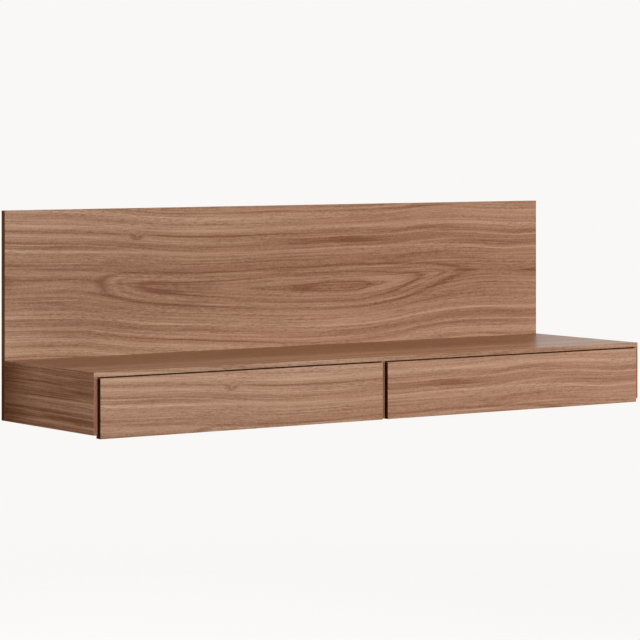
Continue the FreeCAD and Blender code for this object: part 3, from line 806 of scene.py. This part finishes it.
def islands(name):
    """The loose islands of a CAD node, as arrays of points, from left to right."""
    shape = bmesh.new()
    shape.from_mesh(nodes[name].data)
    bmesh.ops.remove_doubles(shape, verts=shape.verts, dist=WELD)
    waiting = set(shape.verts)
    found = []
    while waiting:
        reached = [waiting.pop()]
        points = []
        while reached:
            point = reached.pop()
            points.append(tuple(point.co))
            for edge in point.link_edges:
                other = edge.other_vert(point)
                if other in waiting:
                    waiting.remove(other)
                    reached.append(other)
        found.append(np.array(points))
    shape.free()
    return sorted(found, key=lambda points: tuple(points.min(axis=0)))


def seats(name, axis):
    """Top of the head, outward direction and length of each fastener along one axis."""
    found = []
    for points in islands(name):
        low, high = points.min(axis=0), points.max(axis=0)
        middle = (low + high) / 2
        width = np.linalg.norm(np.delete(points - middle, axis, axis=1), axis=1)
        widest = points[width > width.max() - SAME_WIDTH][:, axis].mean()
        outward = np.zeros(3)
        outward[axis] = 1.0 if widest > middle[axis] else -1.0
        head = middle.copy()
        head[axis] = high[axis] if outward[axis] > 0 else low[axis]
        found.append((head, outward, high[axis] - low[axis]))
    return found


print("screws through the back panel:", len(seats("carcass_screws", 1)))
print("dowels:", len(seats("shelf_dowels", 2)))

# %% [markdown]
# ## Turning a screw in Geometry Nodes
#
# A screw is a profile turned round an axis, with a thread that winds down the shank. The Spin tool could
# turn it by hand. In Geometry Nodes a flat grid does the same: its columns become angles and its rows
# steps of the profile, so head radius, length and pitch stay live inputs, and one tree serves four kinds
# of screw. The thread stays inside the shank's own radius, so nothing cuts into the wood around it. A
# cross is then cut from the head, and each screw gets a turn of its own, since no one lines up the slots.

# %% Words for geometry trees
FULL_TURN = 2.0 * math.pi


def new_tree(name, *sizes):
    """A geometry tree whose inputs are points, named sizes, a seed and a material."""
    tree = bpy.data.node_groups.new(name, "GeometryNodeTree")
    tree.interface.new_socket("Geometry", in_out="OUTPUT", socket_type="NodeSocketGeometry")
    kinds = {"Points": "Geometry", **dict.fromkeys(sizes, "Float"), "Seed": "Int", "Material": "Material"}
    for label, kind in kinds.items():
        tree.interface.new_socket(label, in_out="INPUT", socket_type="NodeSocket" + kind)
    return tree, tree.nodes.new("NodeGroupInput").outputs


def lathe(tree, columns, rows):
    """A grid to be turned: its mesh, each point's angle, and its row."""
    sizes = {"Size X": 1.0, "Size Y": 1.0, "Vertices X": columns + 1, "Vertices Y": rows}
    grid = put(tree, "GeometryNodeMeshGrid", sizes).outputs[0]
    spot = put(tree, "GeometryNodeInputPosition").outputs[0]
    flat = put(tree, "ShaderNodeSeparateXYZ", {0: spot}).outputs
    angle = sums(tree, "MULTIPLY", sums(tree, "ADD", flat["X"], 0.5), -FULL_TURN)
    last = sums(tree, "SUBTRACT", rows, 1.0)
    row = sums(tree, "ROUND", sums(tree, "MULTIPLY", sums(tree, "ADD", flat["Y"], 0.5), last))
    return grid, angle, row


def turned(tree, mesh, angle, radius, height):
    """Wrap the grid round the Z axis and weld its seam and its two ends."""
    place = put(tree, "ShaderNodeCombineXYZ", {
        0: sums(tree, "MULTIPLY", radius, sums(tree, "COSINE", angle)),
        1: sums(tree, "MULTIPLY", radius, sums(tree, "SINE", angle)),
        2: height,
    }).outputs[0]
    wrapped = put(tree, "GeometryNodeSetPosition", {"Geometry": mesh, "Position": place}).outputs[0]
    return put(tree, "GeometryNodeMergeByDistance", {"Geometry": wrapped, "Distance": WELD}).outputs[0]


def chosen(tree, row, values):
    """The value at a row, from a list."""
    made = put(tree, "GeometryNodeIndexSwitch", data_type="FLOAT")
    while len(made.index_switch_items) < len(values):
        made.index_switch_items.new()
    tree.links.new(row, made.inputs["Index"])
    for socket, value in zip(list(made.inputs)[1:], values):
        if isinstance(value, bpy.types.NodeSocket):
            tree.links.new(value, socket)
        else:
            socket.default_value = value
    return made.outputs[0]

# %% Set pieces out on points
UPWARD = (0.0, 0.0, 1.0)


def set_out(tree, given, piece):
    """Put the piece on every point, facing outward with a turn of its own, and end the tree."""
    stored = put(tree, "GeometryNodeInputNamedAttribute", {"Name": "outward"}, data_type="FLOAT_VECTOR")
    outward = stored.outputs[0]
    facing = put(tree, "FunctionNodeAlignRotationToVector", {"Vector": outward}, axis="Z").outputs[0]
    any_turn = {2: 0.0, 3: FULL_TURN, "Seed": given["Seed"]}
    spin = put(tree, "FunctionNodeRandomValue", any_turn, data_type="FLOAT").outputs[1]
    twist = put(tree, "FunctionNodeAxisAngleToRotation", {"Axis": UPWARD, "Angle": spin}).outputs[0]
    spun = put(tree, "FunctionNodeRotateRotation", {0: facing, 1: twist}, rotation_space="LOCAL").outputs[0]
    inputs = {"Points": given["Points"], "Instance": piece, "Rotation": spun}
    spread = put(tree, "GeometryNodeInstanceOnPoints", inputs).outputs[0]
    real = put(tree, "GeometryNodeRealizeInstances", {0: spread}).outputs[0]
    dressed = put(tree, "GeometryNodeSetMaterial", {"Geometry": real, "Material": given["Material"]})
    put(tree, "NodeGroupOutput", {0: dressed.outputs[0]})

# %% Wind the thread
SCREW_COLUMNS = 16
THREAD_ROWS, HEAD_ROWS = 6.0, 6
CORE_SHARE, VALLEY_SHARE = 0.68, 0.35
RUN_IN, POINT_FROM = (0.04, 0.12), 0.78

screw_tree, given = new_tree("screw", "Head Radius", "Dome", "Sink", "Shank Radius", "Length", "Pitch")
tree = screw_tree
head, dome, sink = given["Head Radius"], given["Dome"], given["Sink"]
shank, length, pitch = given["Shank Radius"], given["Length"], given["Pitch"]
neck = sums(tree, "ADD", dome, sink)
threaded = sums(tree, "SUBTRACT", length, neck)
pitches = sums(tree, "DIVIDE", threaded, pitch)
steps = sums(tree, "CEIL", sums(tree, "MULTIPLY", pitches, THREAD_ROWS))
mesh, angle, row = lathe(tree, SCREW_COLUMNS, sums(tree, "ADD", steps, HEAD_ROWS))
below = sums(tree, "MAXIMUM", sums(tree, "SUBTRACT", row, HEAD_ROWS - 1.0), 0.0)
down = sums(tree, "DIVIDE", below, steps)
sunk = sums(tree, "MULTIPLY", down, sums(tree, "SUBTRACT", neck, length))
shank_height = sums(tree, "SUBTRACT", sunk, neck)
turns = sums(tree, "DIVIDE", angle, FULL_TURN)
winding = sums(tree, "ADD", sums(tree, "DIVIDE", shank_height, pitch), turns)
ridge = sums(tree, "PINGPONG", sums(tree, "MULTIPLY", winding, 2.0), 1.0)
ridge = ranged(tree, ridge, VALLEY_SHARE, 1.0, CORE_SHARE, 1.0)
ridge = blended(tree, ranged(tree, down, *RUN_IN), 1.0, ridge)
taper = ranged(tree, down, POINT_FROM, 1.0, 1.0, 0.0)
shank_radius = sums(tree, "MULTIPLY", sums(tree, "MULTIPLY", shank, ridge), taper)
print("thread takes", len(tree.nodes), "nodes")

# %% [markdown]
# ### Head and cross
#
# A pan head stands proud of its seat in a low dome, and a countersunk one is a cone with a flat top and a
# thin land at its rim. The tree takes a height for the dome and one for the cone, and a screw has only
# one of them. The cross could be a dark picture on the head, but a cut with two bars stays true when the
# light or the view moves.

# %% Form the head
ROUND_SHARES = (0.45, 0.80, 0.96)
FALL_SHARES = (0.0, 0.04, 0.26, 0.66)
LAND = 0.00015

head_radii = [0.0] + [sums(tree, "MULTIPLY", head, share) for share in ROUND_SHARES] + [head]
fall = [sums(tree, "MULTIPLY", dome, -share) for share in FALL_SHARES]
rim = sums(tree, "MULTIPLY", sums(tree, "ADD", dome, sums(tree, "MINIMUM", sink, LAND)), -1.0)
in_head = sums(tree, "LESS_THAN", row, HEAD_ROWS - 1.5)
radius = blended(tree, in_head, shank_radius, chosen(tree, row, head_radii))
height = blended(tree, in_head, shank_height, chosen(tree, row, fall + [rim]))
blank = turned(tree, mesh, angle, radius, height)
print("screw tree has", len(tree.nodes), "nodes before the cross is cut")

# %% Cut the cross and set the screws out
CROSS_ARM, CROSS_WIDTH, CROSS_DEPTH = 1.16, 0.26, 1.3
QUARTER_TURN = (0.0, 0.0, math.pi / 2)

arm = put(tree, "ShaderNodeCombineXYZ", {
    0: sums(tree, "MULTIPLY", head, CROSS_ARM),
    1: sums(tree, "MULTIPLY", head, CROSS_WIDTH),
    2: sums(tree, "MULTIPLY", neck, CROSS_DEPTH),
}).outputs[0]
bar = put(tree, "GeometryNodeMeshCube", {"Size": arm}).outputs[0]
other_bar = put(tree, "GeometryNodeTransform", {"Geometry": bar, "Rotation": QUARTER_TURN}).outputs[0]
cut = blank
for cutter in (bar, other_bar):
    both = {"Mesh 1": cut, "Mesh 2": cutter}
    cut = put(tree, "GeometryNodeMeshBoolean", both, operation="DIFFERENCE", solver="EXACT").outputs[0]
set_out(tree, given, cut)
print("screw tree has", len(tree.nodes), "nodes")

# %% [markdown]
# ## Making the screws
#
# A modifier carries the tree on a mesh that is only points, one for each head, with the outward direction
# stored on them. The result is copied to a plain mesh and the modifier goes, so what is left is an
# ordinary piece that stands for the CAD node and moves with its body. The plating is bright zinc with a
# faint yellow cast from passivation.

# %% Run a fastener tree
CREASE = math.radians(35)


def fastened(name, tree, axis, sizes, body, finish):
    """Run a fastener tree on a CAD node's places; the result replaces the node."""
    places = seats(name, axis)
    cloud = bpy.data.meshes.new(name + "_places")
    cloud.from_pydata([tuple(head) for head, outward, length in places], [], [])
    facing = cloud.attributes.new("outward", "FLOAT_VECTOR", "POINT")
    facing.data.foreach_set("vector", np.array([outward for head, outward, length in places]).ravel())
    maker = bpy.data.objects.new(name + "_maker", cloud)
    scene.collection.objects.link(maker)
    modifier = maker.modifiers.new("fasteners", "NODES")
    modifier.node_group = tree
    values = {**sizes, "Length": float(places[0][2]), "Material": finish}
    for item in tree.interface.items_tree:
        if item.in_out == "INPUT" and item.name in values:
            modifier[item.identifier] = values[item.name]
    ready = maker.evaluated_get(bpy.context.evaluated_depsgraph_get())
    shape = bpy.data.meshes.new_from_object(ready)
    bpy.data.objects.remove(maker)
    shape.polygons.foreach_set("use_smooth", [True] * len(shape.polygons))
    shape.set_sharp_from_angle(angle=CREASE)
    piece = bpy.data.objects.new(name + "_turned", shape)
    scene.collection.objects.link(piece)
    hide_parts(name)
    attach(piece, body)
    print(name, len(places), "pieces,", len(shape.polygons), "faces")

# %% Make the screws
SCREW_ZINC = ((0.50, 0.47, 0.40), (0.68, 0.65, 0.57))
MM = 0.001
BACK_SCREW = {
    "Head Radius": 3.5 * MM, "Dome": 0.0, "Sink": 2.0 * MM, "Shank Radius": 1.75 * MM,
    "Pitch": 1.8 * MM, "Seed": 3}
BRACKET_SCREW = {
    "Head Radius": 3.5 * MM, "Dome": 2.0 * MM, "Sink": 0.0, "Shank Radius": 1.75 * MM,
    "Pitch": 1.5 * MM, "Seed": 5}
RAIL_SCREW = {
    "Head Radius": 3.0 * MM, "Dome": 0.0, "Sink": 1.2 * MM, "Shank Radius": 1.6 * MM,
    "Pitch": 1.2 * MM, "Seed": 7}
FRONT_SCREW = {
    "Head Radius": 4.0 * MM, "Dome": 2.2 * MM, "Sink": 0.0, "Shank Radius": 2.0 * MM,
    "Pitch": 1.8 * MM, "Seed": 9}

screw_finish = metal("screw_zinc", SCREW_ZINC, along_lines=700.0, cross_lines=700.0, gloss=(0.22, 0.38))
kinds = [
    ("carcass_screws", 1, BACK_SCREW, "carcass"),
    ("bracket_screws", 2, BRACKET_SCREW, "carcass"),
    ("cabinet_rail_screws", 0, RAIL_SCREW, "carcass")]
for bay in BAYS:
    drawer = bay + "_drawer"
    kinds.append((drawer + "_rail_screws", 0, RAIL_SCREW, drawer))
    kinds.append((drawer + "_front_screws", 1, FRONT_SCREW, drawer))
for name, axis, sizes, body in kinds:
    fastened(name, screw_tree, axis, sizes, body, screw_finish)

# %% [markdown]
# ## Fluted dowels
#
# Dowels of pressed beech align the shelf on its uprights. Flutes down their sides let the air and spare
# glue out of a blind hole, and chamfered ends find the hole. The same lathe makes them: here the radius
# changes with the angle instead of with the row. Beech is pinkish with short dark flecks.

# %% Make the dowels
FLUTES = 10
FLUTE_COLUMNS = 4 * FLUTES
FLUTE_WAVE = (-1.0, 0.2, 1.0, 0.0)
DOWEL_ROWS = 6
BEECH, BEECH_END = ((0.430, 0.270, 0.155), (0.585, 0.400, 0.250)), (0.72, 0.62, 0.52, 1.0)
BEECH_SEED = 1.9
DOWEL = {"Radius": 2.0 * MM, "Flute Depth": 0.18 * MM, "Chamfer": 0.5 * MM, "Seed": 11}

dowel_tree, given = new_tree("dowel", "Radius", "Flute Depth", "Chamfer", "Length")
tree = dowel_tree
chamfer = given["Chamfer"]
mesh, angle, row = lathe(tree, FLUTE_COLUMNS, DOWEL_ROWS)
wave = sums(tree, "COSINE", sums(tree, "MULTIPLY", angle, FLUTES))
flute = sums(tree, "MULTIPLY", ranged(tree, wave, *FLUTE_WAVE), given["Flute Depth"])
side = sums(tree, "SUBTRACT", given["Radius"], flute)
tip = sums(tree, "SUBTRACT", side, chamfer)
far = sums(tree, "MULTIPLY", given["Length"], -1.0)
girth = chosen(tree, row, [0.0, tip, side, side, tip, 0.0])
first, last = sums(tree, "MULTIPLY", chamfer, -1.0), sums(tree, "ADD", far, chamfer)
height = chosen(tree, row, [0.0, 0.0, first, last, far, far])
set_out(tree, given, turned(tree, mesh, angle, girth, height))
beech = timber("beech_dowels", BEECH, BEECH_END, "Z", "XY", BEECH_SEED)
fastened("shelf_dowels", dowel_tree, 2, DOWEL, "carcass", beech)
